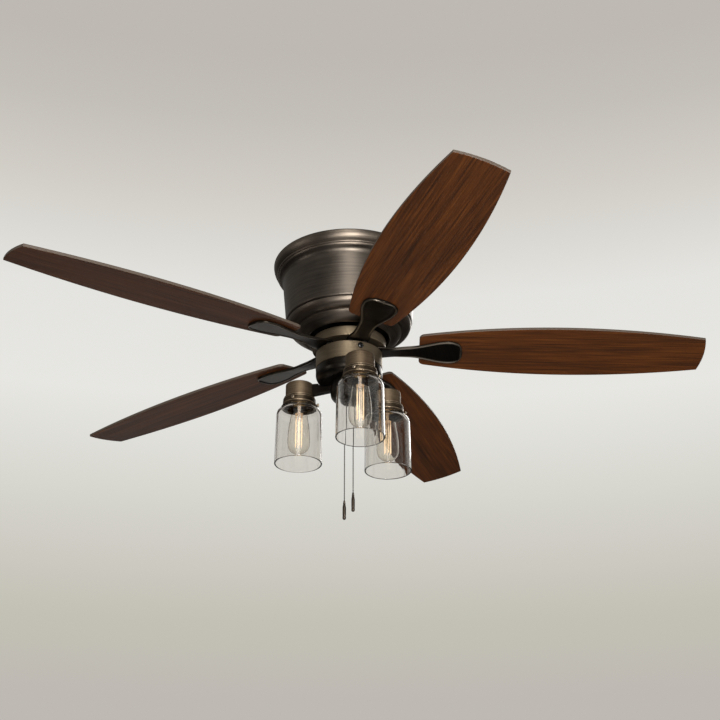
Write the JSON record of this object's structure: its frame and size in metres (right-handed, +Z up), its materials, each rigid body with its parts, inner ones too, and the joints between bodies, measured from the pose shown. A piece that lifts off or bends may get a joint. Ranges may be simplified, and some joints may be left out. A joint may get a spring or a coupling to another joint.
{
  "type": "ceiling fan with light",
  "caption": "Flush-mount ceiling fan with wood-grain blades, a bronze motor housing, a clear jar light kit and pull chains.",
  "frame": {"origin": "centre of the face that meets the ceiling, midway between the outlet box screws", "axes": "+Z up through the shaft, +X along the first blade at rest, within a degree"},
  "size_m": [1.2217, 1.2727, 0.512],
  "materials": {
    "housing_bronze": "oil-rubbed bronze, finely brushed round the axis, satin",
    "warm_bronze": "oil-rubbed bronze with a brassy brushed sheen",
    "dark_bronze": "dark oil-rubbed bronze over castings, satin",
    "plated_steel": "zinc plated",
    "cast_aluminium": "as cast",
    "lamination_steel": "punched electrical steel",
    "copper_wire": "enamelled winding wire",
    "wire_cover": "flexible insulation",
    "black_plastic": "moulded, matt",
    "walnut_blade": "reddish walnut grain, satin lacquer",
    "clear_glass": "clear, smooth",
    "bulb_clear": "clear, thin",
    "bulb_filament": "glowing carbon thread on a glass stem",
    "bulb_brass": "rolled screw shell",
    "porcelain": "glazed white"
  },
  "bodies": {
    "root": {"bulb_bases": "bulb_brass", "bulb_glass": "bulb_clear", "capacitor": "black_plastic", "ceiling_plate": "plated_steel", "chain_bushings": "dark_bronze", "fan_speed_switch": "black_plastic", "filaments": "bulb_filament", "fitter_pan": "dark_bronze", "glass_shade_1": "clear_glass", "glass_shade_2": "clear_glass", "glass_shade_3": "clear_glass", "hanger_collar": "cast_aluminium", "housing_screws": "plated_steel", "lamp_arm_1": "dark_bronze", "lamp_arm_2": "dark_bronze", "lamp_arm_3": "dark_bronze", "lamp_sockets": "porcelain", "light_hub": "dark_bronze", "light_switch": "black_plastic", "lower_housing": "housing_bronze", "main_shaft": "plated_steel", "motor_housing": "housing_bronze", "reverse_switch": "black_plastic", "shade_fitter_1": "warm_bronze", "shade_fitter_2": "warm_bronze", "shade_fitter_3": "warm_bronze", "shaft_leads": "wire_cover", "socket_cup_1": "warm_bronze", "socket_cup_2": "warm_bronze", "socket_cup_3": "warm_bronze", "stator_core": "lamination_steel", "stator_windings": "copper_wire", "switch_housing": "warm_bronze", "switch_housing_screws": "warm_bronze", "switch_mount_plate": "plated_steel", "thumb_screws": "warm_bronze", "trim_rim": "housing_bronze"},
    "rotor": {"blade_1": "walnut_blade", "blade_2": "walnut_blade", "blade_3": "walnut_blade", "blade_4": "walnut_blade", "blade_5": "walnut_blade", "blade_iron_1": "dark_bronze", "blade_iron_2": "dark_bronze", "blade_iron_3": "dark_bronze", "blade_iron_4": "dark_bronze", "blade_iron_5": "dark_bronze", "blade_screws": "plated_steel", "flywheel": "warm_bronze", "iron_screws": "plated_steel", "lower_bearing": "plated_steel", "rotor_cage": "lamination_steel", "rotor_lower_cover": "cast_aluminium", "rotor_upper_cover": "cast_aluminium", "upper_bearing": "plated_steel"},
    "fan_pull": {"fan_chain": "dark_bronze", "fan_fob": "dark_bronze"},
    "light_pull": {"light_chain": "dark_bronze", "light_fob": "dark_bronze"},
    "reverse_lever": {"reverse_slider": "black_plastic"}
  },
  "joints": [
    {"name": "rotor_spin", "type": "hinge", "parent": "root", "child": "rotor", "pos_m": [0, 0, -0.1], "axis": [0, 0, 1], "continuous": true},
    {"name": "fan_pull_slide", "type": "slide", "parent": "root", "child": "fan_pull", "axis": [0, 0, -1], "range_m": [0, 0.01], "stiffness_N_per_m": 1000},
    {"name": "light_pull_slide", "type": "slide", "parent": "root", "child": "light_pull", "axis": [0, 0, -1], "range_m": [0, 0.01], "stiffness_N_per_m": 1000},
    {"name": "reverse_slide", "type": "slide", "parent": "root", "child": "reverse_lever", "axis": [0, 0, -1], "range_m": [0, 0.005]}
  ]
}
